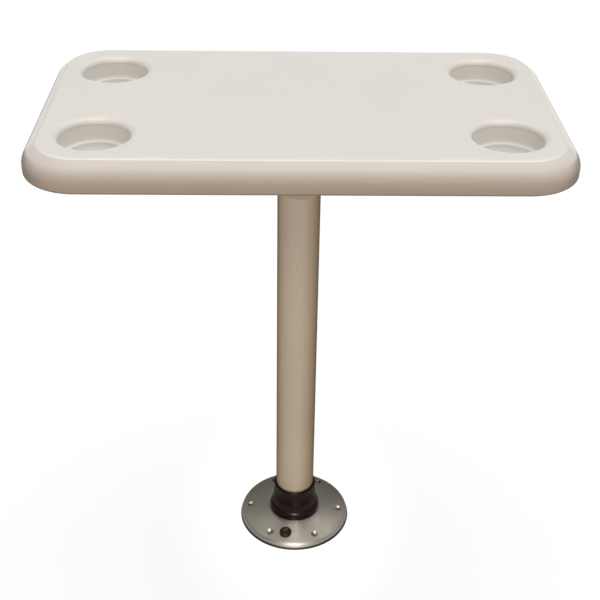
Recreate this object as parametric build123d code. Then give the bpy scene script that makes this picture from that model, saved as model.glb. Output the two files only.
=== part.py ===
from build123d import *
import os
from math import cos, hypot, radians, sin, tan

# All sizes in millimetres. The origin is the middle of the floor plate, on the floor.
# +Z is up, +X runs along the table's long side and -Y is the side that faces the viewer.

# Table top, a hollow twin-wall moulding
top_length = 686.0
top_width = 406.0
top_thickness = 38.0
top_height = 733.0
top_wall = 4.0
corner_radius = 73.0
edge_radius = 28.5
crease_angle = 20.0
crease_blend = 20.0
lower_edge_radius = 4.0

# Drink holders moulded into the top
cup_inset_x = 86.0
cup_inset_y = 94.5
cup_mouth_radius = 46.0
cup_floor_radius = 41.2
cup_rim_radius = 9.0
cup_floor_fillet = 5.0

# Post, with its upper end drawn in to a slow taper
post_diameter = 60.3
post_wall = 2.0
taper_reduction = 1.2
taper_end_gap = 5.0
taper_clearance = 0.05

# Bracket under the top, a casting with a neck
bracket_diameter = 177.8
bracket_plate = 5.0
bracket_edge_radius = 2.0
neck_drop = 92.0
neck_wall = 3.0
neck_draft = 3.0
neck_root_fillet = 14.0
neck_mouth_round = 1.0

# Screws of the bracket
screw_count = 6
screw_inset = 14.0
screw_diameter = 4.8
screw_grip = 20.0
screw_point = 1.2
screw_head_diameter = 9.5
screw_head_height = 3.2
screw_head_round = 2.2
screw_clearance = 0.2
screw_bite = 0.05
pilot_spare = 0.4
boss_diameter = 16.0

# Floor plate, a pressed dish with a flat land in the middle
plate_diameter = 177.8
plate_thickness = 3.5
land_margin = 6.0
land_round = 20.0
plate_slope = 10.5
rim_lean = 2.9
rim_round = 6.0
floor_hole_count = 6
floor_hole_inset = 15.7
floor_hole_angle = -4.0
floor_hole_diameter = 6.4
countersink_diameter = 11.5

# Collar that the post turns in
running_clearance = 0.1
spigot_wall = 2.75
spigot_clearance = 0.2
sleeve_wall = 3.75
collar_height = 52.0
flange_reach = 6.0
flange_height = 10.0
flange_round = 5.0
shoulder_reach = 2.8
shoulder_height = 13.0
cone_height = 24.0
cone_round = 12.0
collar_lip_round = 1.5
collar_floor = 1.6
collar_lift = 0.8
drain_diameter = 24.0

# Nut that holds the collar
thread_clearance = 0.1
nut_width = 5.4
nut_height = 2.9
nut_notch_count = 6
nut_notch_width = 6.0
nut_notch_depth = 1.6

# Foot of the post
foot_lip = 1.7
groove_depth = 4.0
foot_shoulder = 7.0
foot_plug_length = 30.0
foot_plug_wall = 6.0
plug_clearance = 0.05
rivet_diameter = 4.8
rivet_length = 8.0
rivet_height = 18.0
rivet_flush = 0.25
rivet_clearance = 0.05

# Lock tongue, which slides in and out along one direction from the post
lock_angle = -103.5
lock_thickness = 2.0
lock_play = 0.3
lock_catch = 2.15
lock_travel = 3.0
tongue_width = 16.0
lock_plate_width = 26.0
lock_bar = 4.0
tip_bevel = 1.0
ramp_gap = 0.2

# Release button
button_inset = 23.9
button_diameter = 19.0
button_clearance = 0.3
button_proud = 4.6
button_edge_round = 2.2
button_dish_depth = 0.9
button_dish_diameter = 12.0
button_floor_gap = 0.2
button_ramp_reach = 4.1
button_notch_wall = 0.8
button_lip = 2.5
button_lip_height = 1.3
button_lip_angle = 80.0
lip_gap = 0.4
lip_stop_gap = 0.15

# Spring under the button
spring_wire = 0.9
spring_mean_diameter = 6.6
spring_turns = 5.0
spring_pocket_clearance = 0.5
spring_roof = 3.2
spring_end_gap = 0.1

# Housing of the lock under the plate
housing_ring_height = 2.0
housing_ring_width = 10.5
rail_outer_width = 36.0
rail_side_gap = 1.0
rail_past_button = 7.0
rail_stem = 5.0
rail_slip = 0.15
rail_plate_gap = 0.4
cover_thickness = 0.8
cover_lift = 0.6
cover_overhang = 3.0
cover_screw_diameter = 2.4
cover_screw_length = 4.0
cover_screw_head = 4.4
cover_screw_inset = 5.0

# The top, its bracket and the post's head
underside = top_height - top_thickness
plate_bottom = underside - bracket_plate
mouth_height = underside - neck_drop
post_radius = post_diameter / 2
post_bore = post_radius - post_wall
post_top = plate_bottom - taper_end_gap
taper_slope = taper_reduction / (post_top - mouth_height)
screw_circle = bracket_diameter / 2 - screw_inset
screw_places = PolarLocations(screw_circle, screw_count)
# The floor of a drink holder is the lower skin itself.
cup_depth = top_thickness - top_wall
cup_places = GridLocations(top_length - 2 * cup_inset_x, top_width - 2 * cup_inset_y, 2, 2)

# Radii round the post's foot, from the post outwards
collar_bore = post_radius + running_clearance
spigot_radius = collar_bore + spigot_wall
sleeve_radius = collar_bore + sleeve_wall
flange_radius = sleeve_radius + flange_reach
land_radius = flange_radius + land_margin
nut_radius = spigot_radius + nut_width
plate_radius = plate_diameter / 2
button_radius = button_diameter / 2
button_offset = plate_radius - button_inset

# Heights of the lock, from the floor up, which set how high the plate's land has to be
foot_height = collar_lift + collar_floor
groove_bottom = foot_height + foot_lip
lock_bottom = groove_bottom + lock_play
lock_top = lock_bottom + lock_thickness
groove_top = lock_top + lock_play
tube_foot = groove_top + foot_shoulder
cover_top = cover_lift + cover_thickness
button_bottom = cover_top + button_floor_gap + lock_travel
spring_pocket = (spring_mean_diameter + spring_wire) / 2 + spring_pocket_clearance
notch_root = spring_pocket + button_notch_wall
lip_radius = button_radius + button_lip
lip_bottom = lock_top + lock_travel + lip_gap
lip_top = lip_bottom + button_lip_height
lip_half_angle = radians(button_lip_angle / 2)
button_hole = button_radius + button_clearance
lip_corner = hypot(button_offset - button_hole * cos(lip_half_angle), button_hole * sin(lip_half_angle))
slope = tan(radians(plate_slope))
skin = plate_thickness / cos(radians(plate_slope))
land_height = lip_top + lip_stop_gap + skin + (lip_corner - land_radius) * slope
land_underside = land_height - plate_thickness


def plate_height(radius):
    """Height of the plate's sloping upper face at a radius."""
    return land_height - (radius - land_radius) * slope


def outline(*points):
    """Flat face from its corner points."""
    return make_face(Polyline(*points, close=True))


def rounded(sketch, radius, *corners):
    """The face with the named corners rounded."""
    picked = [sketch.vertices().sort_by_distance((*corner, 0))[0] for corner in corners]
    return fillet(picked, radius)


def turned(sketch):
    """Solid of revolution about Z from a face of (radius, height)."""
    return revolve(Plane.XZ * sketch, Axis.Z)


def ring(inner, outer, bottom, height):
    """Plain ring about Z."""
    top = bottom + height
    return turned(outline((inner, bottom), (outer, bottom), (outer, top), (inner, top)))


def rod(radius, bottom, height):
    """Upright cylinder about Z that stands at a height."""
    return Pos(0, 0, bottom) * Cylinder(radius, height, align=(Align.CENTER, Align.CENTER, Align.MIN))


def group(places, shape):
    """One separate copy of a shape at each place, kept together as a group."""
    return Compound(children=[place * shape for place in places])


def at_lock(shape):
    """Turns what was built along +X to the lock's direction."""
    return Rot(0, 0, lock_angle) * shape


def moulded_slab(inset):
    """Slab of the top, its surface at z = 0, drawn in by an inset all round.

    The upper edge is rounded on a slab that is a little too thick. Trimming the excess leaves the
    round meeting the surface at the crease angle instead of running smoothly into it.
    """
    round_radius = edge_radius - inset
    trim = round_radius * (1 - cos(radians(crease_angle)))
    thickness = top_thickness - 2 * inset
    plan = RectangleRounded(top_length - 2 * inset, top_width - 2 * inset, corner_radius - inset)
    slab = extrude(plan, thickness + trim)
    slab = fillet(slab.edges().group_by(Axis.Z)[-1], round_radius)
    slab = split(slab, bisect_by=Plane.XY.offset(thickness), keep=Keep.BOTTOM)
    return Pos(0, 0, inset - top_thickness) * slab


def cup_plug(grow):
    """Tapered plug in the form of one drink holder, grown by a wall, its mouth at z = 0."""
    floor = cup_floor_radius + grow
    mouth = cup_mouth_radius + grow
    return Cone(floor, mouth, cup_depth + grow, align=(Align.CENTER, Align.CENTER, Align.MAX))


def circles_of(shape, radius):
    """Round edges of one radius."""
    rings = shape.edges().filter_by(GeomType.CIRCLE)
    return rings.filter_by(lambda edge: abs(edge.radius - radius) < taper_clearance)


def make_table_top():
    """Twin-wall top: outer skin with drink holders, an inner hollow and a column for each screw."""
    slab = moulded_slab(0)
    slab = fillet(slab.edges().group_by(Axis.Z)[-1], crease_blend)
    slab = fillet(slab.edges().group_by(Axis.Z)[0], lower_edge_radius)
    slab = slab - group(cup_places, cup_plug(0))
    slab = fillet(circles_of(slab, cup_mouth_radius), cup_rim_radius)
    slab = fillet(circles_of(slab, cup_floor_radius), cup_floor_fillet)
    hollow = moulded_slab(top_wall)
    hollow = hollow - group(cup_places, cup_plug(top_wall))
    hollow = hollow - group(screw_places, rod(boss_diameter / 2, -top_thickness, top_thickness))
    pilot_depth = screw_grip - bracket_plate + pilot_spare
    pilot = rod(screw_diameter / 2 + screw_bite, -top_thickness, pilot_depth)
    return Pos(0, 0, top_height) * (slab - hollow - group(screw_places, pilot))


def neck_bore(height):
    """Radius of the neck's tapered bore at a height, a hair wider than the post's head."""
    return post_radius - (height - mouth_height) * taper_slope + taper_clearance


def make_table_bracket():
    """Casting with a screw plate against the top and a tapered neck for the post."""
    mouth_bore = neck_bore(mouth_height)
    mouth = (mouth_bore + neck_wall, mouth_height)
    root = (mouth_bore + neck_wall + neck_draft, plate_bottom)
    edge = (bracket_diameter / 2, plate_bottom)
    section = outline(
        (0, underside),
        (bracket_diameter / 2, underside),
        edge,
        root,
        mouth,
        (mouth_bore, mouth_height),
        (neck_bore(plate_bottom), plate_bottom),
        (0, plate_bottom),
    )
    section = rounded(section, neck_root_fillet, root)
    section = rounded(section, bracket_edge_radius, edge)
    section = rounded(section, neck_mouth_round, mouth)
    hole = rod(screw_diameter / 2 + screw_clearance, plate_bottom, bracket_plate)
    return turned(section) - group(screw_places, hole)


def make_bracket_screws():
    """Pan head screws that go up through the bracket into the top."""
    head = rod(screw_head_diameter / 2, plate_bottom - screw_head_height, screw_head_height)
    head = fillet(head.edges().group_by(Axis.Z)[0], screw_head_round)
    shank = rod(screw_diameter / 2, plate_bottom, screw_grip)
    shank = chamfer(shank.edges().group_by(Axis.Z)[-1], screw_point)
    return group(screw_places, head + shank)


def rivet_places():
    """Two places, opposite each other, with local Z pointing out of the post."""
    height = tube_foot + rivet_height
    return [Pos(0, 0, height) * Rot(0, 0, turn) * Rot(0, 90, 0) for turn in (0, 180)]


def rivet_bar(radius):
    """Round bar along local Z that ends just under the post's skin."""
    return rod(radius, post_radius - rivet_flush - rivet_length, rivet_length)


def make_post_tube():
    """Straight tube whose upper end is drawn in to a slow taper."""
    tube = turned(
        outline(
            (post_bore, tube_foot),
            (post_radius, tube_foot),
            (post_radius, mouth_height),
            (post_radius - taper_reduction, post_top),
            (post_bore - taper_reduction, post_top),
            (post_bore, mouth_height),
        )
    )
    hole = rod(rivet_diameter / 2 + rivet_clearance, 0, post_diameter)
    return tube - group(rivet_places(), hole)


def make_foot_plug():
    """Plug in the tube's lower end, with the groove that the lock tongue catches."""
    plug_radius = post_bore - plug_clearance
    plug_top = tube_foot + foot_plug_length
    inner = plug_radius - foot_plug_wall
    groove_radius = post_radius - groove_depth
    plug = turned(
        outline(
            (inner, foot_height),
            (post_radius, foot_height),
            (post_radius, groove_bottom),
            (groove_radius, groove_bottom),
            (groove_radius, groove_top),
            (post_radius, groove_top),
            (post_radius, tube_foot),
            (plug_radius, tube_foot),
            (plug_radius, plug_top),
            (inner, plug_top),
        )
    )
    return plug - group(rivet_places(), rivet_bar(rivet_diameter / 2 + rivet_clearance))


def make_plug_rivets():
    """Two flush rivets through the tube's wall into the plug."""
    return group(rivet_places(), rivet_bar(rivet_diameter / 2))


def floor_hole():
    """Countersunk hole for a floor screw, as deep as the plate is high at its place."""
    surface = plate_height(plate_radius - floor_hole_inset)
    hole_radius = floor_hole_diameter / 2
    sink_radius = countersink_diameter / 2
    sink_bottom = surface - (sink_radius - hole_radius)
    sink_top = surface + sink_radius
    section = outline(
        (0, 0),
        (hole_radius, 0),
        (hole_radius, sink_bottom),
        (hole_radius + sink_top - sink_bottom, sink_top),
        (0, sink_top),
    )
    return turned(section)


def make_base_plate():
    """Pressed dish with a flat land for the collar and a rolled-down rim."""
    rim_radius = plate_radius - rim_lean
    rim_corner = (rim_radius, plate_height(rim_radius))
    land_corner = (land_radius, land_height)
    section = outline((0, 0), (plate_radius, 0), rim_corner, land_corner, (0, land_height))
    section = rounded(section, rim_round, rim_corner)
    section = rounded(section, land_round, land_corner)
    dish = turned(section)
    dish = offset(dish, amount=-plate_thickness, openings=dish.faces().sort_by(Axis.Z)[0])
    dish = dish - rod(spigot_radius + spigot_clearance, 0, land_height)
    hole_places = PolarLocations(plate_radius - floor_hole_inset, floor_hole_count, floor_hole_angle)
    dish = dish - group(hole_places, floor_hole())
    return dish - at_lock(Pos(button_offset, 0, 0) * rod(button_hole, 0, land_height))


def make_socket_bush():
    """Collar with a flange on the plate, a spigot through it, a drained floor and the lock's window."""
    collar_top = land_height + collar_height
    flange_corner = (flange_radius, land_height + flange_height)
    cone_corner = (sleeve_radius, land_height + cone_height)
    outer_lip = (sleeve_radius, collar_top)
    inner_lip = (collar_bore, collar_top)
    section = outline(
        (drain_diameter / 2, collar_lift),
        (spigot_radius, collar_lift),
        (spigot_radius, land_height),
        (flange_radius, land_height),
        flange_corner,
        (sleeve_radius + shoulder_reach, land_height + shoulder_height),
        cone_corner,
        outer_lip,
        inner_lip,
        (collar_bore, foot_height),
        (drain_diameter / 2, foot_height),
    )
    section = rounded(section, flange_round, flange_corner)
    section = rounded(section, cone_round, cone_corner)
    section = rounded(section, collar_lip_round, outer_lip, inner_lip)
    window = Box(2 * spigot_wall, tongue_width + 2 * lock_play, groove_top - groove_bottom)
    window = Pos(collar_bore + spigot_wall / 2, 0, (groove_bottom + groove_top) / 2) * window
    return turned(section) - at_lock(window)


def make_ring_nut():
    """Nut with spanner notches that clamps the housing and the collar to the plate."""
    nut_top = land_underside - housing_ring_height
    nut = ring(spigot_radius + thread_clearance, nut_radius, nut_top - nut_height, nut_height)
    notch = Pos(0, 0, nut_top) * Box(2 * nut_notch_depth, nut_notch_width, 2 * nut_height)
    return nut - group(PolarLocations(nut_radius, nut_notch_count), notch)


# Rails of the lock's housing, one on each side of the button
rail_inner = button_radius + rail_side_gap
rail_outer = rail_outer_width / 2
rail_groove = lock_plate_width / 2 + rail_slip
rail_start = nut_radius
rail_end = button_offset + rail_past_button
rail_top = plate_height(hypot(rail_end, rail_outer)) - skin - rail_plate_gap


def rail_section():
    """Section of one rail, as (across, height), with the groove that the lock tongue runs in."""
    return outline(
        (rail_inner, cover_top),
        (rail_outer, cover_top),
        (rail_outer, rail_top),
        (rail_inner, rail_top),
        (rail_inner, lock_top + rail_slip),
        (rail_groove, lock_top + rail_slip),
        (rail_groove, lock_bottom - rail_slip),
        (rail_inner, lock_bottom - rail_slip),
    )


def cover_screw_places():
    """Places of the four screws that hold the cover to the rails."""
    across = rail_groove + rail_outer
    along = rail_end - rail_start - 2 * cover_screw_inset
    middle = Pos((rail_start + rail_end) / 2, 0, 0)
    return [middle * place for place in GridLocations(along, across, 2, 2)]


def make_lock_housing():
    """Ring that the nut clamps, with two grooved rails for the lock tongue."""
    ring_bottom = land_underside - housing_ring_height
    ring_inner = spigot_radius + spigot_clearance
    body = ring(ring_inner, ring_inner + housing_ring_width, ring_bottom, housing_ring_height)
    stem_plan = Rectangle(rail_stem, rail_outer - rail_inner, align=(Align.MIN, Align.MIN))
    stem = Pos(rail_start, rail_inner, rail_top) * extrude(stem_plan, ring_bottom - rail_top)
    rail = Pos(rail_start, 0, 0) * extrude(Plane.YZ * rail_section(), rail_end - rail_start)
    rail = rail + stem
    rails = rail + mirror(rail, Plane.XZ)
    pilot = rod(cover_screw_diameter / 2 + screw_bite, cover_top, cover_screw_length + pilot_spare)
    return body + at_lock(rails - group(cover_screw_places(), pilot))


def cover_screw_head_cone(grow):
    """Countersunk head of a cover screw, as thick as the cover, grown by a clearance."""
    foot = cover_screw_head / 2 + grow
    neck = cover_screw_diameter / 2 + grow
    cone = Cone(foot, neck, cover_thickness, align=(Align.CENTER, Align.CENTER, Align.MIN))
    return Pos(0, 0, cover_lift) * cone


def make_housing_cover():
    """Sheet that closes the housing from below and carries the spring."""
    length = rail_end - rail_start + cover_overhang
    sheet = RectangleRounded(length, rail_outer_width, cover_overhang)
    sheet = extrude(Pos(rail_start + length / 2, 0, cover_lift) * sheet, cover_thickness)
    return at_lock(sheet - group(cover_screw_places(), cover_screw_head_cone(screw_bite)))


def make_cover_screws():
    """Countersunk screws of the cover."""
    screw = cover_screw_head_cone(0) + rod(cover_screw_diameter / 2, cover_top, cover_screw_length)
    return at_lock(group(cover_screw_places(), screw))


def make_lock_slide():
    """Flat tongue with a bevelled tip and a slanted window that the button's two slopes drive."""
    tip = post_radius - lock_catch
    notch_low = button_offset - notch_root - (lip_bottom - lock_bottom) - ramp_gap
    notch_high = notch_low + lock_thickness
    plate_start = notch_low - lock_bar
    ramp_foot = button_offset + button_radius - button_ramp_reach
    ramp_low = ramp_foot + (lock_bottom - button_bottom) + ramp_gap
    ramp_high = ramp_low + lock_thickness
    plate_end = ramp_high + lock_bar
    from_start = (Align.MIN, Align.CENTER)
    plate_length = plate_end - plate_start
    tongue = Pos(tip, 0, 0) * Rectangle(plate_end - tip, tongue_width, align=from_start)
    plate = Pos(plate_start, 0, 0) * Rectangle(plate_length, lock_plate_width, align=from_start)
    slide = Pos(0, 0, lock_bottom) * extrude(tongue + plate, lock_thickness)
    window = outline(
        (notch_low, lock_bottom),
        (ramp_low, lock_bottom),
        (ramp_high, lock_top),
        (notch_high, lock_top),
    )
    slide = slide - extrude(Plane.XZ * window, button_hole, both=True)
    tip_edge = slide.edges().filter_by(Axis.Y).group_by(Axis.X)[0].sort_by(Axis.Z)[-1]
    return at_lock(chamfer(tip_edge, tip_bevel))


# Inside of the button
button_top = plate_height(button_offset) + button_proud
spring_roof_height = button_top - button_dish_depth - spring_roof


def make_release_button():
    """Round button with a dished face, a spring pocket, a retaining lip and two 45 degree slopes.

    The outer slope pushes the lock tongue out as the button goes down, and the slope of the notch on
    the other side draws it back in as the spring lifts the button.
    """
    body = rod(button_radius, button_bottom, button_top - button_bottom)
    body = fillet(body.edges().group_by(Axis.Z)[-1], button_edge_round)
    half_dish = button_dish_diameter / 2
    dish_radius = (half_dish**2 + button_dish_depth**2) / (2 * button_dish_depth)
    body = body - Pos(0, 0, button_top - button_dish_depth + dish_radius) * Sphere(dish_radius)
    body = body - rod(spring_pocket, button_bottom, spring_roof_height - button_bottom)
    ramp_foot = button_radius - button_ramp_reach
    wedge = outline(
        (ramp_foot, button_bottom),
        (button_diameter, button_bottom),
        (button_diameter, button_bottom + button_diameter - ramp_foot),
    )
    body = body - extrude(Plane.XZ * wedge, button_diameter, both=True)
    notch = outline(
        (-notch_root, lip_bottom),
        (-notch_root - button_diameter, lip_bottom - button_diameter),
        (-notch_root - button_diameter, lip_bottom),
    )
    body = body - extrude(Plane.XZ * notch, button_diameter, both=True)
    lip_section = outline(
        (notch_root, lip_bottom),
        (lip_radius, lip_bottom),
        (lip_radius, lip_top),
        (notch_root, lip_top),
    )
    lip = revolve(Plane.XZ * lip_section, Axis.Z, button_lip_angle)
    lip = Rot(0, 0, 180 - button_lip_angle / 2) * lip
    return at_lock(Pos(button_offset, 0, 0) * (body + lip))


def make_button_spring():
    """Coil spring that stands on the cover inside the button."""
    bottom = cover_top + spring_end_gap + spring_wire / 2
    height = spring_roof_height - spring_end_gap - spring_wire / 2 - bottom
    path = Helix(height / spring_turns, height, spring_mean_diameter / 2)
    section = Plane(path @ 0, z_dir=path % 0) * Circle(spring_wire / 2)
    return at_lock(Pos(button_offset, 0, bottom) * sweep(section, path))


makers = {
    "table_top": make_table_top,
    "table_bracket": make_table_bracket,
    "bracket_screws": make_bracket_screws,
    "post_tube": make_post_tube,
    "foot_plug": make_foot_plug,
    "plug_rivets": make_plug_rivets,
    "base_plate": make_base_plate,
    "socket_bush": make_socket_bush,
    "ring_nut": make_ring_nut,
    "lock_housing": make_lock_housing,
    "housing_cover": make_housing_cover,
    "cover_screws": make_cover_screws,
    "lock_slide": make_lock_slide,
    "release_button": make_release_button,
    "button_spring": make_button_spring,
}

os.makedirs("parts", exist_ok=True)
for name, make in makers.items():
    export_step(make(), f"parts/{name}.step")
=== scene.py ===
# %% [markdown]
# # A camper table on one post
#
# An off-white moulded top with four drink holders stands on one aluminium post. The post turns in a
# black collar on a domed floor plate, and a black button in the plate lets it go.
#
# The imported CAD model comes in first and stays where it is. The steps after it set the camera and the
# light, build the finer surfaces with numpy, and give every piece its finish.

# %% Load the CAD model
from math import atan2, cos, degrees, pi, radians, sin, tan

import bmesh
import bpy
import numpy as np
from mathutils import Euler, Matrix, Vector


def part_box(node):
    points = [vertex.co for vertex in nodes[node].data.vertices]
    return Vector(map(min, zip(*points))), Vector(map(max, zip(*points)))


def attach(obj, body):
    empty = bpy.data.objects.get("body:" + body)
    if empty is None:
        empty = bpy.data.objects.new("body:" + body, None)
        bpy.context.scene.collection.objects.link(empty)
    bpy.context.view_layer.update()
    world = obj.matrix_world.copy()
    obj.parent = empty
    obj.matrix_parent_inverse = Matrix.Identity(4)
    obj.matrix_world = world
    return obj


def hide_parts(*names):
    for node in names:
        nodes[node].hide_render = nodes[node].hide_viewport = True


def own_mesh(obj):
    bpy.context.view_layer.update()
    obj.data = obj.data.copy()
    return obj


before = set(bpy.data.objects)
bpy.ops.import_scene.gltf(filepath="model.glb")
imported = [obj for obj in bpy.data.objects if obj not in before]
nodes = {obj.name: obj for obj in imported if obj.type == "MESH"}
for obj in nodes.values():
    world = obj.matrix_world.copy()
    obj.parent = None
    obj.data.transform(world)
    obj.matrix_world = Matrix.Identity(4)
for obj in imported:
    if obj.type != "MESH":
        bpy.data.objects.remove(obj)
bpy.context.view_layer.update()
mm = 0.001

# %% [markdown]
# ## Camera
#
# The photo was taken from about chest height, looking down by about a third of a right angle. A camera
# can be aimed by hand until it looks right. Here its place, its three angles and its lens were worked
# out from the table's outline, so the render and the photo lie over each other.

# %% Camera
camera_place = Vector((-0.0329, -1.3712, 1.2970))
camera_yaw = radians(1.529)
camera_pitch = radians(32.587)
camera_roll = radians(0.960)
image_width = 600
focal_pixels = 1106.77
film_width = 36.0
sight = 200.0

scene = bpy.context.scene
camera_data = bpy.data.cameras.new("photo_camera")
camera_data.sensor_width = film_width
camera_data.lens = film_width * focal_pixels / image_width
camera_data.clip_end = sight
camera = bpy.data.objects.new("photo_camera", camera_data)
scene.collection.objects.link(camera)
aim = Euler((pi / 2 - camera_pitch, 0.0, -camera_yaw)).to_matrix()
rolled = (aim @ Matrix.Rotation(camera_roll, 3, "Z")).to_4x4()
camera.matrix_world = Matrix.Translation(camera_place) @ rolled
scene.camera = camera
print("lens:", round(camera_data.lens, 2), "mm")

# %% [markdown]
# ## Sky
#
# The light is a plain studio, and much of it comes from all round. A world in Blender can be one colour or
# a picture of a room. Here it is three colour ramps that run from the horizon to straight overhead: warm
# and bright low in front, dim behind, and dark beyond the two ends of the table, as if black cloths hung
# there. Satin metal shows the three as soft bands.

# %% Node helpers
def new_node(tree, kind, values=None, **settings):
    """Adds a node, changes the settings given by name, and then the values of its inputs."""
    node = tree.nodes.new(kind)
    for name, value in settings.items():
        setattr(node, name, value)
    for socket, value in (values or {}).items():
        node.inputs[socket].default_value = value
    return node


def join(tree, source, output, target, socket):
    """Links an output of one node to an input of another."""
    tree.links.new(source.outputs[output], target.inputs[socket])


def fade(tree, start, end, low=0.0, high=1.0, soft=True):
    """Map Range node: goes from low to high while what comes in goes from start to end."""
    values = {"From Min": start, "From Max": end, "To Min": low, "To Max": high}
    curve = "SMOOTHSTEP" if soft else "LINEAR"
    return new_node(tree, "ShaderNodeMapRange", values, interpolation_type=curve)


def height_ramp(tree, stops):
    """Colour ramp from the horizon (0) to straight overhead (1): pairs of height and colour."""
    ramp = new_node(tree, "ShaderNodeValToRGB")
    while len(ramp.color_ramp.elements) < len(stops):
        ramp.color_ramp.elements.new(0.5)
    for element, (height, shade) in zip(ramp.color_ramp.elements, stops):
        element.position = height
        element.color = (*shade, 1.0)
    return ramp


# %% Colours of the sky
overhead = (1.28, 1.28, 1.28)
front_sky = [
    (0.0, (2.00, 1.50, 1.14)),
    (0.45, (1.20, 0.98, 0.82)),
    (0.8, (0.58, 0.57, 0.55)),
    (1.0, overhead),
]
back_sky = [
    (0.0, (0.22, 0.18, 0.15)),
    (0.38, (0.14, 0.14, 0.12)),
    (0.70, (0.48, 0.47, 0.44)),
    (0.90, (0.95, 0.94, 0.93)),
    (1.0, overhead),
]
end_sky = [
    (0.0, (0.05, 0.035, 0.025)),
    (0.40, (0.10, 0.085, 0.07)),
    (0.72, (0.50, 0.48, 0.46)),
    (1.0, overhead),
]

# Where the back and the ends take over, by how far a direction points along Y and X
back_begins, back_full = -1.0, -0.45
end_begins, end_full = 0.20, 0.65
strength_left, strength_right = 0.70, 1.15
print("sky stops:", len(front_sky), "in front,", len(back_sky), "behind,", len(end_sky), "at the ends")

# %% Sky
def sky_colour(tree, axes):
    """Mixes the three ramps by direction: front to back along Y, and towards both ends along X."""
    off_middle = new_node(tree, "ShaderNodeMath", operation="ABSOLUTE")
    toward_back = fade(tree, back_begins, back_full)
    toward_end = fade(tree, end_begins, end_full)
    lengthwise = new_node(tree, "ShaderNodeMix", data_type="RGBA")
    all_round = new_node(tree, "ShaderNodeMix", data_type="RGBA")
    places = ((front_sky, lengthwise, "A"), (back_sky, lengthwise, "B"), (end_sky, all_round, "B"))
    for stops, mix, socket in places:
        ramp = height_ramp(tree, stops)
        join(tree, axes, "Z", ramp, "Fac")
        join(tree, ramp, "Color", mix, socket)
    join(tree, axes, "Y", toward_back, "Value")
    join(tree, toward_back, "Result", lengthwise, "Factor")
    join(tree, axes, "X", off_middle, 0)
    join(tree, off_middle, 0, toward_end, "Value")
    join(tree, toward_end, "Result", all_round, "Factor")
    join(tree, lengthwise, "Result", all_round, "A")
    return all_round


scene.view_settings.view_transform = "Standard"
sky = bpy.data.worlds.new("studio_sky")
scene.world = sky
sky.use_nodes = True
sky_tree = sky.node_tree
sky_tree.nodes.clear()
direction = new_node(sky_tree, "ShaderNodeTexCoord")
sky_axes = new_node(sky_tree, "ShaderNodeSeparateXYZ")
to_right = fade(sky_tree, -1.0, 1.0, strength_left, strength_right, soft=False)
sky_light = new_node(sky_tree, "ShaderNodeBackground")
join(sky_tree, direction, "Generated", sky_axes, "Vector")
join(sky_tree, sky_axes, "X", to_right, "Value")
join(sky_tree, to_right, "Result", sky_light, "Strength")
join(sky_tree, sky_colour(sky_tree, sky_axes), "Result", sky_light, "Color")
print("sky strength:", strength_left, "at the left,", strength_right, "at the right")

# %% [markdown]
# ## White backdrop
#
# The photo's background is pure white, and the sky that lights the table isn't. A white wall could be
# built, but it would throw light on everything. A Light Path node tells the rays apart instead: the
# camera sees white in every direction, and reflections see it up to a little above the horizon, as if
# a low paper backdrop stood round the table.

# %% White backdrop
paper_ends, paper_full = 0.16, 0.10


def white_backdrop(tree, axes, lit_sky):
    """White to camera rays, and low down to reflected and refracted rays. Other rays see the sky."""
    rays = new_node(tree, "ShaderNodeLightPath")
    near_horizon = fade(tree, paper_ends, paper_full, soft=False)
    mirrored = new_node(tree, "ShaderNodeMath", operation="MAXIMUM")
    mirrored_low = new_node(tree, "ShaderNodeMath", operation="MULTIPLY")
    white = new_node(tree, "ShaderNodeMath", operation="MAXIMUM")
    paper = new_node(tree, "ShaderNodeBackground", {"Color": (1.0, 1.0, 1.0, 1.0)})
    sky_or_paper = new_node(tree, "ShaderNodeMixShader")
    output = new_node(tree, "ShaderNodeOutputWorld")
    join(tree, axes, "Z", near_horizon, "Value")
    join(tree, rays, "Is Glossy Ray", mirrored, 0)
    join(tree, rays, "Is Transmission Ray", mirrored, 1)
    join(tree, mirrored, 0, mirrored_low, 0)
    join(tree, near_horizon, "Result", mirrored_low, 1)
    join(tree, rays, "Is Camera Ray", white, 0)
    join(tree, mirrored_low, 0, white, 1)
    join(tree, white, 0, sky_or_paper, "Fac")
    join(tree, lit_sky, "Background", sky_or_paper, 1)
    join(tree, paper, "Background", sky_or_paper, 2)
    join(tree, sky_or_paper, "Shader", output, "Surface")


white_backdrop(sky_tree, sky_axes, sky_light)
print("backdrop fades from", paper_full, "to", paper_ends, "above the horizon")

# %% [markdown]
# ## Lamps
#
# One broad lamp hangs over the table. It is a sun with a wide angle, so its shadows are soft. A narrow
# spot stands by the camera and reaches only the foot of the table, where the spun metal of the plate
# answers with a bright fan. A plain point lamp would draw that fan too, but it would also light the top.

# %% Lamps
ceiling_strength = 1.49
ceiling_spread = radians(50)
ceiling_colour = (1.0, 1.0, 0.995)
ceiling_lean = Euler((radians(-12), radians(4), 0.0))
plate_watts = 118.0
plate_cone = radians(11)
plate_lamp_radius = 0.06
plate_lamp_offset = Vector((0.03, 0.0, 0.06))
plate_target = Vector((0.0, -0.02, 0.01))


def new_lamp(name, kind, **settings):
    """Adds a lamp of one kind with the settings given by name."""
    lamp_data = bpy.data.lights.new(name, kind)
    for setting, value in settings.items():
        setattr(lamp_data, setting, value)
    lamp = bpy.data.objects.new(name, lamp_data)
    scene.collection.objects.link(lamp)
    return lamp


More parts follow.
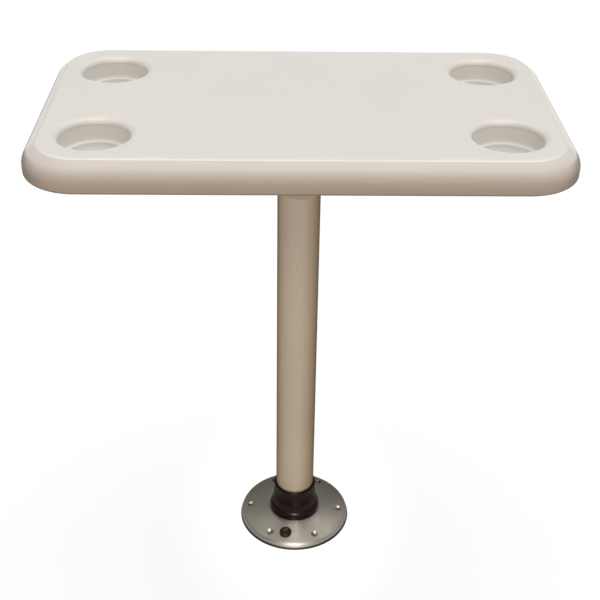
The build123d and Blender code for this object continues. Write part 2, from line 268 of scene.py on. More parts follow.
ceiling = new_lamp("ceiling_lamp", "SUN", energy=ceiling_strength, angle=ceiling_spread)
ceiling.data.color = ceiling_colour
ceiling.rotation_euler = ceiling_lean
plate_lamp = new_lamp("plate_lamp", "SPOT", energy=plate_watts, spot_size=plate_cone, spot_blend=0.6)
plate_lamp.data.shadow_soft_size = plate_lamp_radius
plate_lamp.location = camera_place + plate_lamp_offset
plate_lamp.rotation_euler = (plate_target - plate_lamp.location).to_track_quat("-Z", "Y").to_euler()
print("lamps:", ceiling_strength, "overhead,", plate_watts, "W on the plate")

# %% [markdown]
# ## Floor
#
# The floor is a large flat sheet. To the camera and in reflections it is white: most of that is a glow,
# and the light that falls on it makes up the rest, so it still darkens where the table keeps the light
# off it. To all other rays it is a warm grey, which throws a little light back up. It doesn't glow inside
# the hollow of the plate, and from below it is clear, so a low view isn't blocked.

# %% Floor
floor_reach = 40.0
corners = floor_reach * np.array([(-1, -1, 0), (1, -1, 0), (1, 1, 0), (-1, 1, 0)], float)
floor_mesh = bpy.data.meshes.new("studio_floor")
floor_mesh.from_pydata(corners.tolist(), [], [(0, 1, 2, 3)])
floor = bpy.data.objects.new("studio_floor", floor_mesh)
scene.collection.objects.link(floor)
print("floor:", floor_reach * 2, "m wide")

# %% Paint of the floor
floor_glow = 0.84
floor_shade = (0.18, 0.18, 0.18, 1.0)
floor_bounce = (0.34, 0.245, 0.18, 1.0)
dark_radius, lit_radius = 84 * mm, 88 * mm


def white_floor(tree):
    """Glow and grey added together: white where the light falls, with no glow under the plate."""
    place = new_node(tree, "ShaderNodeTexCoord")
    reach = new_node(tree, "ShaderNodeVectorMath", operation="LENGTH")
    uncovered = fade(tree, dark_radius, lit_radius, high=floor_glow, soft=False)
    glow = new_node(tree, "ShaderNodeEmission")
    shade = new_node(tree, "ShaderNodeBsdfDiffuse", {"Color": floor_shade})
    white = new_node(tree, "ShaderNodeAddShader")
    join(tree, place, "Object", reach, 0)
    join(tree, reach, "Value", uncovered, "Value")
    join(tree, uncovered, "Result", glow, "Strength")
    join(tree, glow, 0, white, 0)
    join(tree, shade, 0, white, 1)
    return white


def floor_paint():
    """White to camera, glossy and transmission rays, warm grey to the others, clear from below."""
    material = bpy.data.materials.new("studio_floor")
    material.use_nodes = True
    tree = material.node_tree
    tree.nodes.clear()
    rays = new_node(tree, "ShaderNodeLightPath")
    direct = new_node(tree, "ShaderNodeMath", operation="MAXIMUM")
    seen = new_node(tree, "ShaderNodeMath", operation="MAXIMUM")
    bounce = new_node(tree, "ShaderNodeBsdfDiffuse", {"Color": floor_bounce})
    either = new_node(tree, "ShaderNodeMixShader")
    facing = new_node(tree, "ShaderNodeNewGeometry")
    clear = new_node(tree, "ShaderNodeBsdfTransparent")
    sided = new_node(tree, "ShaderNodeMixShader")
    output = new_node(tree, "ShaderNodeOutputMaterial")
    join(tree, rays, "Is Camera Ray", direct, 0)
    join(tree, rays, "Is Glossy Ray", direct, 1)
    join(tree, direct, 0, seen, 0)
    join(tree, rays, "Is Transmission Ray", seen, 1)
    join(tree, seen, 0, either, "Fac")
    join(tree, bounce, 0, either, 1)
    join(tree, white_floor(tree), 0, either, 2)
    join(tree, facing, "Backfacing", sided, "Fac")
    join(tree, either, 0, sided, 1)
    join(tree, clear, 0, sided, 2)
    join(tree, sided, 0, output, "Surface")
    return material


floor_mesh.materials.append(floor_paint())
print("floor glow:", floor_glow, "dark inside a radius of", round(dark_radius / mm), "mm")

# %% [markdown]
# ## Surfaces from numpy
#
# Each new piece is one or more grids of points. A grid is worked out as a whole array, from a formula
# in two parameters, and its faces follow from the grid's shape. Grids that share an edge are put into
# one mesh and welded there, so the piece is closed.

# %% Mesh helpers
weld_reach = 1e-6
sliver = 1e-7


def grid_faces(rows, columns, first=0):
    """Four-cornered faces between neighbouring points of a grid, numbered from its first point."""
    row, column = np.meshgrid(np.arange(rows - 1), np.arange(columns - 1), indexing="ij")
    corner = first + row * columns + column
    return np.stack([corner, corner + 1, corner + columns + 1, corner + columns], axis=-1).reshape(-1, 4)


def piece_from_grids(name, grids, sharp_angle=35.0):
    """Puts grids of points into one mesh, welds shared points and turns the faces outwards."""
    starts = np.cumsum([0] + [grid.shape[0] * grid.shape[1] for grid in grids])
    points = np.concatenate([grid.reshape(-1, 3) for grid in grids])
    faces = np.concatenate([grid_faces(*grid.shape[:2], start) for grid, start in zip(grids, starts)])
    mesh = bpy.data.meshes.new(name)
    mesh.from_pydata(points.tolist(), [], faces.tolist())
    welded = bmesh.new()
    welded.from_mesh(mesh)
    bmesh.ops.remove_doubles(welded, verts=welded.verts, dist=weld_reach)
    bmesh.ops.dissolve_degenerate(welded, edges=welded.edges, dist=sliver)
    bmesh.ops.recalc_face_normals(welded, faces=welded.faces)
    open_edges = sum(1 for edge in welded.edges if len(edge.link_faces) != 2)
    welded.to_mesh(mesh)
    welded.free()
    mesh.polygons.foreach_set("use_smooth", np.ones(len(mesh.polygons), bool))
    mesh.set_sharp_from_angle(angle=radians(sharp_angle))
    piece = bpy.data.objects.new(name, mesh)
    scene.collection.objects.link(piece)
    print(name, "faces:", len(mesh.polygons), "open edges:", open_edges)
    return piece


# %% [markdown]
# ## Table top
#
# The real top is one hollow plastic moulding. Its edge is rounded like a bull's nose, but the round
# doesn't run smoothly into the flat: it meets it at a faint crease, which catches the light. Each drink
# holder is a tapered cup with a soft rim and a rounded floor.
#
# Such a top could be a cube with bevels and four cut holes. Here the flat is four cells, one round each
# drink holder, and a plain strip between them. In a cell the points run along rays from the rim out to
# the cell's border, so they lie closest at the rims, where the light would show facets. The edge is
# a profile carried round the outline. All of it welds into one closed skin.

# %% Sizes of the top
top_low, top_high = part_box("table_top")
half_length, half_width = top_high.x, top_high.y
top_z, under_z = top_high.z, top_low.z
corner_radius = 73.0 * mm

# The edge is a straight shoulder with the nose below it, and a small round at the crease and the underside.
shoulder_tilt = radians(36)
shoulder_length = 11.5 * mm
nose_radius = 23.5 * mm
crease_blend = 4.0 * mm
lower_round = 4.0 * mm

# There is a drink holder in each corner, with its middle this far inside the outline.
cup_inset_x, cup_inset_y = 86.0 * mm, 94.5 * mm
cup_x, cup_y = half_length - cup_inset_x, half_width - cup_inset_y
cup_mouth, cup_floor, cup_depth = 46.0 * mm, 41.2 * mm, 34.0 * mm
rim_round, floor_round = 9.0 * mm, 12.0 * mm
print("top:", round(2 * half_length / mm), "by", round(2 * half_width / mm), "mm")

# %% Profile of the edge
def arc(centre, radius, start, end, steps):
    """Points (x, y) on a circle from one angle to another, in degrees from +x."""
    angle = np.radians(np.linspace(start, end, steps))
    return np.stack([centre[0] + radius * np.cos(angle), centre[1] + radius * np.sin(angle)], axis=-1)


# The profile starts at the flat. Its numbers are the way out from the outline and up from the flat.
small_steps, nose_steps = 9, 26
blend_tangent = crease_blend * tan(shoulder_tilt / 2)
crease_inset = shoulder_length * cos(shoulder_tilt) + nose_radius * (1 - sin(shoulder_tilt))
flat_inset = crease_inset + blend_tangent
nose_z = -shoulder_length * sin(shoulder_tilt) - nose_radius * cos(shoulder_tilt)
shoulder_normal = 90 - degrees(shoulder_tilt)
edge_profile = np.concatenate([
    arc((-flat_inset, -crease_blend), crease_blend, 90, shoulder_normal, small_steps),
    arc((-nose_radius, nose_z), nose_radius, shoulder_normal, 0, nose_steps),
    arc((-lower_round, under_z - top_z + lower_round), lower_round, 0, -90, small_steps),
])
print("flat ends", round(flat_inset / mm, 2), "mm inside the outline")

# %% Profile of a drink holder
rim_steps, wall_steps, floor_steps = 14, 14, 28
wall_lean = atan2(cup_mouth - cup_floor, cup_depth)
rim_centre_r = cup_mouth + (rim_round - rim_round * sin(wall_lean)) / cos(wall_lean)
floor_centre_z = floor_round - cup_depth
floor_centre_r = cup_mouth + (floor_centre_z * sin(wall_lean) - floor_round) / cos(wall_lean)
rim_arc = arc((rim_centre_r, -rim_round), rim_round, 90, 180 - degrees(wall_lean), rim_steps)
floor_arc = arc((floor_centre_r, floor_centre_z), floor_round, -degrees(wall_lean), -90, floor_steps)
cup_profile = np.concatenate([
    rim_arc,
    np.linspace(rim_arc[-1], floor_arc[0], wall_steps)[1:-1],
    floor_arc,
    [(floor_centre_r * share, -cup_depth) for share in (0.6, 0.3, 0.0)],
])
print("rim starts at a radius of", round(rim_centre_r / mm, 2), "mm")

# %% Rays of one cell, from the rim to its border
ray_count = 180
strip_x = 160.0 * mm
digits, tiny = 9, 1e-9
flat_x, flat_y = half_length - flat_inset, half_width - flat_inset
bend = corner_radius - flat_inset
bend_x, bend_y = flat_x - bend, flat_y - bend

# Rays at even angles, and one through each corner of the cell and each end of its round
corner_points = [(flat_x, 0.0), (flat_x, bend_y), (bend_x, flat_y), (strip_x, flat_y), (strip_x, 0.0)]
corner_angles = [atan2(y - cup_y, x - cup_x) for x, y in corner_points]
even_angles = np.linspace(-pi, pi, ray_count + 1)[:-1]
ray = np.unique(np.round(np.concatenate([even_angles, corner_angles]), digits))
ray = np.append(ray, ray[0] + 2 * pi)


def border_points(angle):
    """Where rays from the cup's middle meet the cell: its four sides, or the corner's round."""
    dx, dy = np.cos(angle), np.sin(angle)
    with np.errstate(divide="ignore"):
        to_x = np.abs(np.where(dx > 0, flat_x - cup_x, cup_x - strip_x) / dx)
        to_y = np.abs(np.where(dy > 0, flat_y - cup_y, cup_y) / dy)
    reach = np.minimum(to_x, to_y)
    x, y = cup_x + reach * dx, cup_y + reach * dy
    off_x, off_y = cup_x - bend_x, cup_y - bend_y
    along = off_x * dx + off_y * dy
    round_reach = -along + np.sqrt(along**2 - (off_x**2 + off_y**2 - bend**2))
    in_bend = (x > bend_x + tiny) & (y > bend_y + tiny)
    x = np.where(in_bend, cup_x + round_reach * dx, x)
    y = np.where(in_bend, cup_y + round_reach * dy, y)
    return np.round(np.stack([x, y], axis=-1), digits)


border = border_points(ray)
print("rays round each cup:", len(ray))

# %% Flat and cup of one cell
def flat_grid(inner, outer, rows=5):
    """Level points between two lines: each is a mix of its two ends, by its share of the way."""
    share = np.linspace(0.0, 1.0, rows)[:, None, None]
    level = (1 - share) * inner + share * outer
    return np.concatenate([level, np.full(level.shape[:2] + (1,), top_z)], axis=-1)


def swept_grid(line, outward, profile):
    """Profile carried along a line: outward by its first number, and up from the flat by its second."""
    level = line + profile[:, 0, None, None] * outward
    height = np.broadcast_to(top_z + profile[:, 1, None, None], level.shape[:2] + (1,))
    return np.concatenate([level, height], axis=-1)


circle = np.stack([np.cos(ray), np.sin(ray)], axis=-1)
cup_middle = np.array([cup_x, cup_y])
flat_cell = flat_grid(cup_middle + rim_centre_r * circle, border)
cup_cell = swept_grid(cup_middle, circle, cup_profile)
mirrors = [np.array(signs, float) for signs in ((1, 1, 1), (-1, 1, 1), (-1, -1, 1), (1, -1, 1))]
cells = [cell * signs for signs in mirrors for cell in (flat_cell, cup_cell)]
print("cell points:", flat_cell.size // 3, "on the flat,", cup_cell.size // 3, "in the cup")

# %% Strip between the cells
close = 1e-8
side_y = np.unique(border[np.isclose(border[:, 0], strip_x, atol=close), 1])
strip_y = np.concatenate([-side_y[:0:-1], side_y])
strip_columns = np.array([-strip_x, strip_x])
strip = np.stack(np.broadcast_arrays(strip_columns[:, None], strip_y, top_z), axis=-1)
print("strip points on each side:", len(strip_y))

# %% Outline of the flat
at_outline = np.isclose(border[:, 0], flat_x, atol=close) | np.isclose(border[:, 1], flat_y, atol=close)
at_outline |= (border[:, 0] > bend_x) & (border[:, 1] > bend_y)
quarter = np.unique(border[at_outline], axis=0)
quarter = quarter[np.argsort(np.arctan2(quarter[:, 1], quarter[:, 0]))]
loop = np.concatenate([quarter, quarter[::-1] * (-1, 1), quarter * (-1, -1), quarter[::-1] * (1, -1)])
loop = np.concatenate([loop, loop[:1]])
outward = np.maximum(np.abs(loop) - (bend_x, bend_y), 0.0) * np.sign(loop)
outward /= np.linalg.norm(outward, axis=1)[:, None]
print("points round the outline:", len(loop) - 1)

# %% Edge, underside and the whole top
edge = swept_grid(loop, outward, edge_profile + (flat_inset, 0.0))
under = np.stack([edge[-1] * (share, share, 1.0) for share in (1.0, 0.5, 0.0)])

top_piece = piece_from_grids("moulded_top", cells + [strip, edge, under])
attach(top_piece, "post")
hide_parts("table_top")

# %% [markdown]
# ## Painted light and shade on the top
#
# A moulded top is not one even white, and light and shade are painted onto it here. Painted highlights
# make the rims, the walls and a ring above each holder's floor, the crease and the two ends paler, and
# painted shade darkens the floors of the drink holders and the lower edge. This could be painted by hand.
# Here each point gets a number from where it lies, and the numbers are kept in the mesh as attributes that
# the finish reads later. Two more attributes say where the front edge and the nose get painted shade.

# %% Where each point of the top lies
top_mesh = top_piece.data
spots = np.empty(len(top_mesh.vertices) * 3)
top_mesh.vertices.foreach_get("co", spots)
spots = spots.reshape(-1, 3)
depth = top_z - spots[:, 2]
from_cup = np.hypot(np.abs(spots[:, 0]) - cup_x, np.abs(spots[:, 1]) - cup_y)
in_cup = (from_cup < rim_centre_r - weld_reach) & (depth > weld_reach)
below_rim = in_cup & (depth > rim_round)
rim_tilt = np.degrees(np.arccos(np.clip(1 - depth / rim_round, 0, 1)))
floor_tilt = np.degrees(np.arccos(np.clip(1 - (cup_depth - depth) / floor_round, 0, 1)))
off_cup = spots[:, :2] - np.sign(spots[:, :2]) * (cup_x, cup_y)
from_far_side = np.degrees(np.arctan2(off_cup[:, 0], off_cup[:, 1]))
past_flat = np.maximum(np.abs(spots[:, :2]) - (bend_x, bend_y), 0.0)
past_crease = np.hypot(past_flat[:, 0], past_flat[:, 1]) - bend - blend_tangent
to_front = np.clip(-np.sign(spots[:, 1]) * past_flat[:, 1] / bend, 0, 1)
print("points in the cups:", int(in_cup.sum()), "of", len(spots))

# %% Painted highlight, painted shade, edge and nose
# Tilts, the glint and the ring are in degrees. Depths go down from the flat, and other widths lie level.
rim_starts, rim_full, rim_fades, rim_ends = 24, 44, 76, 84
glint_width, glint_least = 20, 0.40
ring_tilt, ring_width = 55.0, 9.0
shade_starts, shade_full = ring_tilt - 4, ring_tilt - 12
wall_lift, crease_lift, end_lift = 0.35, 0.65, 0.60
crease_width, crease_depth = 1.8 * mm, 0.5 * mm
end_width, end_depth, edge_width = 3.0 * mm, 14 * mm, 2.0 * mm
front_starts, front_full, end_fades = 0.5, 1.0, 0.3
nose_starts, nose_full = 8 * mm, 12 * mm
foot_starts, foot_full = 33.6 * mm, 35.2 * mm


def climb(values, start, end):
    """Goes evenly from 0 at start to 1 at end, and stays there."""
    return np.clip((values - start) / (end - start), 0.0, 1.0)


def hump(values, middle, width):
    """Bell curve: 1 in the middle, and 0.37 one width away from it."""
    return np.exp(-(((values - middle) / width) ** 2))


# The rim gets a painted glint, strongest at its far side. The wall is painted a little lighter,
# and ends at a painted bright ring above the floor.
painted_rim_glint = climb(rim_tilt, rim_starts, rim_full) * climb(rim_tilt, rim_ends, rim_fades) * in_cup
painted_rim_glint *= glint_least + (1 - glint_least) * hump(from_far_side, 0, glint_width)
painted_wall_light = wall_lift * below_rim * (floor_tilt > ring_tilt)
painted_ring_glint = hump(floor_tilt, ring_tilt, ring_width) * below_rim

# A painted highlight runs along the crease at the front, and painted light lies on the shoulder at the two
# ends.
painted_crease_highlight = crease_lift * hump(past_crease, 0, crease_width) * climb(to_front, front_starts, front_full)
painted_crease_highlight *= (depth < crease_depth) & ~in_cup
to_end = climb(past_flat[:, 0], 0, bend) * climb(to_front, end_fades, 0)
painted_end_light = end_lift * climb(past_crease, 0, end_width) * to_end * (depth < end_depth) * ~in_cup

# Painted shade: the cup floors below the ring and the lower edge of the top are darker.
shaded_floor = climb(floor_tilt, shade_starts, shade_full) * (1 - painted_ring_glint) * below_rim
shaded_foot = climb(depth, foot_starts, foot_full) * ~in_cup
# Painted highlights and painted shade, kept as attributes of the mesh.
marks = {
    "painted_highlight": np.maximum.reduce([painted_rim_glint, painted_wall_light, painted_ring_glint, painted_crease_highlight, painted_end_light]),
    "painted_shade": np.maximum(shaded_floor, shaded_foot),
    # Painted shade along the front edge, warmer and darker than the flat.
    "front_edge_shade": climb(past_crease, 0, edge_width) * to_front * ~in_cup,
    # Where the nose of the edge gets painted shade at a grazing view.
    "nose_band": climb(depth, nose_starts, nose_full) * ~in_cup,
}
for mark, values in marks.items():
    attribute = top_mesh.attributes.new(mark, "FLOAT", "POINT")
    attribute.data.foreach_set("value", values.astype(np.float32))
    print(mark, "on", int((values > 0.5).sum()), "points")

# %% [markdown]
# ## Post
#
# The post is a drawn aluminium tube, open at both ends. Its upper end narrows inside the bracket's neck,
# where the taper holds it. A cylinder with a Solidify modifier would do. Here one closed line of radius
# and height is carried round the axis, which also gives the broken edge at the foot.

# %% Post
post_low, post_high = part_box("post_tube")
post_radius = post_high.x
neck_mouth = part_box("table_bracket")[0].z
post_wall = 2.0 * mm
taper_in = 1.2 * mm
edge_break = 0.4 * mm


def turned_grid(profile, turns=192):
    """Surface of revolution: each (radius, height) of the profile is carried round the Z axis."""
    angle = np.linspace(0.0, 2 * pi, turns + 1)
    radius, height = profile[:, 0, None], profile[:, 1, None]
    across = np.broadcast_to(height, (len(profile), turns + 1))
    return np.stack([radius * np.cos(angle), radius * np.sin(angle), across], axis=-1)


post_profile = np.array([
    (post_radius - post_wall, post_low.z),
    (post_radius - edge_break, post_low.z),
    (post_radius, post_low.z + edge_break),
    (post_radius, neck_mouth),
    (post_radius - taper_in, post_high.z),
    (post_radius - taper_in - post_wall, post_high.z),
    (post_radius - post_wall, neck_mouth),
    (post_radius - post_wall, post_low.z),
])
post_piece = piece_from_grids("drawn_post", [turned_grid(post_profile)], sharp_angle=20.0)
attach(post_piece, "post")
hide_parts("post_tube")

# %% [markdown]
# ## Button spring
#
# A small coil of steel wire stands under the button and lifts it again. A coil can be drawn as a curve
# with a bevel. Here it is a circle carried up a helix and worked out as one grid, so each end closes on
# a point and the spring is one skin.

# %% Button spring
spring_low, spring_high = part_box("button_spring")
wire_radius = 0.45 * mm
spring_turns = 5


def coil_grid(radius, wire, height, turns, steps=48, sides=14):
    """Circle of the wire's radius, square to a helix: the line turns and climbs evenly round Z."""
    turn = np.linspace(0.0, 2 * pi * turns, steps * turns + 1)[:, None]
    rise = height / (2 * pi * turns)
    outward = np.concatenate([np.cos(turn), np.sin(turn), 0 * turn], axis=1)
    along = np.concatenate([-np.sin(turn), np.cos(turn), np.full_like(turn, rise / radius)], axis=1)
    across = np.cross(along / np.linalg.norm(along, axis=1)[:, None], outward)
    line = (radius * outward + turn * (0.0, 0.0, rise))[:, None]
    angle = np.linspace(0.0, 2 * pi, sides + 1)[:, None]
    tube = line + wire * (np.cos(angle) * outward[:, None] + np.sin(angle) * across[:, None])
    tips = np.broadcast_to(line[[0, -1]], (2, sides + 1, 3))
    return np.concatenate([tips[:1], tube, tips[1:]])


spring_height = spring_high.z - spring_low.z
spring_radius = (spring_high.x - spring_low.x) / 2 - wire_radius
coil = coil_grid(spring_radius, wire_radius, spring_height - 2 * wire_radius, spring_turns)
spring_foot = ((spring_low.x + spring_high.x) / 2, (spring_low.y + spring_high.y) / 2, spring_low.z)
coil_piece = piece_from_grids("coil_spring", [coil + spring_foot + np.array((0.0, 0.0, wire_radius))])
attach(coil_piece, "base")
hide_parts("button_spring")
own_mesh(coil_piece)
print("spring:", round(spring_height / mm, 2), "mm high, on a radius of", round(spring_radius / mm, 2), "mm")

# %% [markdown]
# ## Effects that several finishes share
#
# Four effects come back in the finishes, so each is a node group with named sockets. The first makes
# the colour drift a little over a piece, as it does on anything moulded or anodised. The second is a fine
# grain, as height for a Bump node and as roughness. The third draws the fine rings that a lathe or a
# spinning tool leaves. The last scatters hair scratches. Image textures could show all this for one
# piece. Noise on Object coordinates fits every piece, and moves with it.

# %% Groups for colour and grain
number, colour, vector = "NodeSocketFloat", "NodeSocketColor", "NodeSocketVector"


def new_group(name, inputs, outputs):
    """Empty shader node group with named sockets: name to (kind, default)."""
    group = bpy.data.node_groups.new(name, "ShaderNodeTree")
    for label, (kind, default) in inputs.items():
        socket = group.interface.new_socket(label, in_out="INPUT", socket_type=kind)
        socket.default_value = default
    for label, kind in outputs.items():
        group.interface.new_socket(label, in_out="OUTPUT", socket_type=kind)
    return group, group.nodes.new("NodeGroupInput"), group.nodes.new("NodeGroupOutput")


def colour_drift():
    """Soft cloud over the piece that mixes a dark and a light shade."""
    sockets = {"Light": (colour, (1, 1, 1, 1)), "Dark": (colour, (0.8, 0.8, 0.8, 1)), "Scale": (number, 6.0)}
    group, given, made = new_group("colour_drift", sockets, {"Colour": colour})
    place = new_node(group, "ShaderNodeTexCoord")
    cloud = new_node(group, "ShaderNodeTexNoise", {"Detail": 4.0})
    mix = new_node(group, "ShaderNodeMix", data_type="RGBA")
    join(group, place, "Object", cloud, "Vector")
    join(group, given, "Scale", cloud, "Scale")
    join(group, cloud, "Fac", mix, "Factor")
    join(group, given, "Dark", mix, "A")
    join(group, given, "Light", mix, "B")
    join(group, mix, "Result", made, "Colour")
    return group


def fine_grain():
    """Fine noise, stretched by axis: as height, and as roughness between a low and a high value."""
    sockets = {"Scale": (number, 900.0), "Stretch": (vector, (1, 1, 1))}
    sockets |= {"Low": (number, 0.3), "High": (number, 0.4)}
    group, given, made = new_group("fine_grain", sockets, {"Height": number, "Roughness": number})
    place = new_node(group, "ShaderNodeTexCoord")
    stretched = new_node(group, "ShaderNodeVectorMath", operation="MULTIPLY")
    speck = new_node(group, "ShaderNodeTexNoise", {"Detail": 3.0})
    rough = fade(group, 0.3, 0.7, soft=False)
    join(group, place, "Object", stretched, 0)
    join(group, given, "Stretch", stretched, 1)
    join(group, stretched, 0, speck, "Vector")
    join(group, given, "Scale", speck, "Scale")
    join(group, speck, "Fac", rough, "Value")
    join(group, given, "Low", rough, "To Min")
    join(group, given, "High", rough, "To Max")
    join(group, speck, "Fac", made, "Height")
    join(group, rough, "Result", made, "Roughness")
    return group


drift = colour_drift()
grain = fine_grain()
print("groups:", drift.name, grain.name)

# %% Groups for turned lines and scratches
stroke_width = 0.006
stroke_turns = {25: (55.0, 3.0, 20.0), -60: (48.0, 2.5, 20.0)}


def turned_lines():
    """Rings round the Z axis: noise along the distance from it."""
    group, given, made = new_group("turned_lines", {"Scale": (number, 1500.0)}, {"Height": number})
    place = new_node(group, "ShaderNodeTexCoord")
    flattened = new_node(group, "ShaderNodeVectorMath", {1: (1.0, 1.0, 0.0)}, operation="MULTIPLY")
    reach = new_node(group, "ShaderNodeVectorMath", operation="LENGTH")
    track = new_node(group, "ShaderNodeTexNoise", {"Detail": 3.0}, noise_dimensions="1D")
    join(group, place, "Object", flattened, 0)
    join(group, flattened, "Vector", reach, 0)
    join(group, reach, "Value", track, "W")
    join(group, given, "Scale", track, "Scale")
    join(group, track, "Fac", made, "Height")
    return group


def stroke(group, place, angle, stretch):
    """Thin lines: where noise stretched along one direction crosses its middle value."""
    turn = (0.0, 0.0, radians(angle))
    laid = new_node(group, "ShaderNodeMapping", {"Rotation": turn, "Scale": stretch})
    wave = new_node(group, "ShaderNodeTexNoise", {"Scale": 1.0, "Detail": 2.0})
    crossing = new_node(group, "ShaderNodeMath", {1: 0.5, 2: stroke_width}, operation="COMPARE")
    join(group, place, "Object", laid, "Vector")
    join(group, laid, "Vector", wave, "Vector")
    join(group, wave, "Fac", crossing, 0)
    return crossing


def hair_scratches():
    """Strokes in two directions, kept in patches only."""
    group, given, made = new_group("hair_scratches", {"Amount": (number, 0.5)}, {"Mask": number})
    place = new_node(group, "ShaderNodeTexCoord")
    both = new_node(group, "ShaderNodeMath", operation="MAXIMUM")
    for slot, (angle, stretch) in enumerate(stroke_turns.items()):
        join(group, stroke(group, place, angle, stretch), 0, both, slot)
    patchy = new_node(group, "ShaderNodeTexNoise", {"Scale": 11.0})
    some = fade(group, 0.50, 0.62, soft=False)
    kept = new_node(group, "ShaderNodeMath", operation="MULTIPLY")
    scaled = new_node(group, "ShaderNodeMath", operation="MULTIPLY")
    join(group, place, "Object", patchy, "Vector")
    join(group, patchy, "Fac", some, "Value")
    join(group, both, 0, kept, 0)
    join(group, some, "Result", kept, 1)
    join(group, kept, 0, scaled, 0)
    join(group, given, "Amount", scaled, 1)
    join(group, scaled, 0, made, "Mask")
    return group


lines = turned_lines()
scratch = hair_scratches()
print("groups:", lines.name, scratch.name)

# %% [markdown]
# ## One maker for all finishes
#
# Every finish starts from the same Principled shader: a colour that drifts between two shades, a grained
# roughness with scratches, and a fine bump. What a finish has besides, such as painted shade or painted
# highlights, is laid over its colour later. Each finish could be built by hand, but then a change to the
# grain would have to be made in all of them.

# %% Maker of finishes
grain_height = 0.2 * mm
scratch_roughness = 0.75


def finish_material(
    name, light, dark, metallic, roughness, grain_scale, stretch=(1, 1, 1), bump=0.05, cloud_scale=6.0,
    scratches=0.0, turned=0.0, specular=0.5,
):
    """Principled finish: drifting colour, grained roughness, fine bump, scratches and turned lines."""
    material = bpy.data.materials.new(name)
    material.use_nodes = True
    tree = material.node_tree
    shader = tree.nodes["Principled BSDF"]
    shader.inputs["Metallic"].default_value = metallic
    shader.inputs["Specular IOR Level"].default_value = specular
    shades = {"Light": (*light, 1.0), "Dark": (*dark, 1.0), "Scale": cloud_scale}
    tint = new_node(tree, "ShaderNodeGroup", shades, node_tree=drift)
    fine = {"Scale": grain_scale, "Stretch": stretch, "Low": roughness[0], "High": roughness[1]}
    texture = new_node(tree, "ShaderNodeGroup", fine, node_tree=grain)
    hairs = new_node(tree, "ShaderNodeGroup", {"Amount": scratches}, node_tree=scratch)
    roughened = new_node(tree, "ShaderNodeMix", {"B": scratch_roughness})
    raised = new_node(tree, "ShaderNodeBump", {"Strength": bump, "Distance": grain_height})
    join(tree, tint, "Colour", shader, "Base Color")
    join(tree, hairs, "Mask", roughened, "Factor")
    join(tree, texture, "Roughness", roughened, "A")
    join(tree, roughened, "Result", shader, "Roughness")
    join(tree, texture, "Height", raised, "Height")
    join(tree, raised, "Normal", shader, "Normal")
    if turned:
        tracks = new_node(tree, "ShaderNodeGroup", node_tree=lines)
        cut = new_node(tree, "ShaderNodeBump", {"Strength": turned, "Distance": grain_height})
        join(tree, tracks, "Height", cut, "Height")
        join(tree, raised, "Normal", cut, "Normal")
        join(tree, cut, "Normal", shader, "Normal")
    return material


# %% Layers over a finish
def lay_over(material, mask, shade, blend="MIX"):
    """Lays one more colour over the finish's colour, as much as the mask says."""
    links = material.node_tree.links
    base = material.node_tree.nodes["Principled BSDF"].inputs["Base Color"]
    layer = new_node(material.node_tree, "ShaderNodeMix", data_type="RGBA", blend_type=blend)
    layer.inputs["B"].default_value = (*shade, 1.0)
    links.new(base.links[0].from_socket, layer.inputs["A"])
    links.new(mask, layer.inputs["Factor"])
    links.new(layer.outputs["Result"], base)


def marked(material, mark):
    """Mask from an attribute of the mesh."""
    return new_node(material.node_tree, "ShaderNodeAttribute", attribute_name=mark).outputs["Fac"]


def fade_along(material, axis, start, end):
    """Mask that fades in along one axis of the object, from start to end."""
    tree = material.node_tree
    place = new_node(tree, "ShaderNodeTexCoord")
    axes = new_node(tree, "ShaderNodeSeparateXYZ")
    mask = fade(tree, start, end)
    join(tree, place, "Object", axes, "Vector")
    join(tree, axes, axis, mask, "Value")
    return mask.outputs["Result"]


def dress(finish, *objects):
    """Gives objects one finish in place of what they had."""
    for item in objects:
        item.data.materials.clear()
        item.data.materials.append(finish)
        print(finish.name, "on", item.name)


# %% [markdown]
# ## Off-white moulding
#
# The top is a satin plastic with little shine. Its front edge gets a painted shade, a touch warmer and
# darker than the flat, and the attributes made above say where the top gets painted shade and painted
# highlights.
# At a grazing view the nose of the edge is painted darker, a painted shade that draws a thin dark outline.
# A ring of paint could do that for one view only. A Layer Weight node gives the angle for every view.

# %% Off-white moulding
front_shade_tint = (0.960, 0.935, 0.915)
painted_shade_tint = (0.76, 0.75, 0.73)
painted_highlight_colour = (0.97, 0.96, 0.925)
nose_shade_tint = (0.20, 0.165, 0.14)
off_white = finish_material(
    "off_white_moulding", light=(0.770, 0.757, 0.720), dark=(0.735, 0.722, 0.685), metallic=0.0,
    roughness=(0.40, 0.50), grain_scale=700.0, bump=0.03, scratches=0.5, specular=0.28,
)
# Painted shade: the front edge is warmer and darker than the flat.
lay_over(off_white, marked(off_white, "front_edge_shade"), front_shade_tint, "MULTIPLY")
# Painted shade on the floors of the drink holders and along the lower edge.
lay_over(off_white, marked(off_white, "painted_shade"), painted_shade_tint, "MULTIPLY")
# Painted highlights: glints on the rims, lighter walls, rings, the front crease and the shoulders at the
# ends.
lay_over(off_white, marked(off_white, "painted_highlight"), painted_highlight_colour)


def grazing_nose(material, start=0.25, end=1.0):
    """Mask of painted shade that grows where the nose of the edge turns away from the view."""
    tree = material.node_tree
    view = new_node(tree, "ShaderNodeLayerWeight")
    outline = fade(tree, start, end)
    nose_only = new_node(tree, "ShaderNodeMath", operation="MULTIPLY")
    join(tree, view, "Facing", outline, "Value")
    join(tree, outline, "Result", nose_only, 0)
    tree.links.new(marked(material, "nose_band"), nose_only.inputs[1])
    return nose_only.outputs[0]


# Painted shade: the nose of the edge darkens at a grazing view and draws a dark outline.
lay_over(off_white, grazing_nose(off_white), nose_shade_tint, "MULTIPLY")
dress(off_white, top_piece)
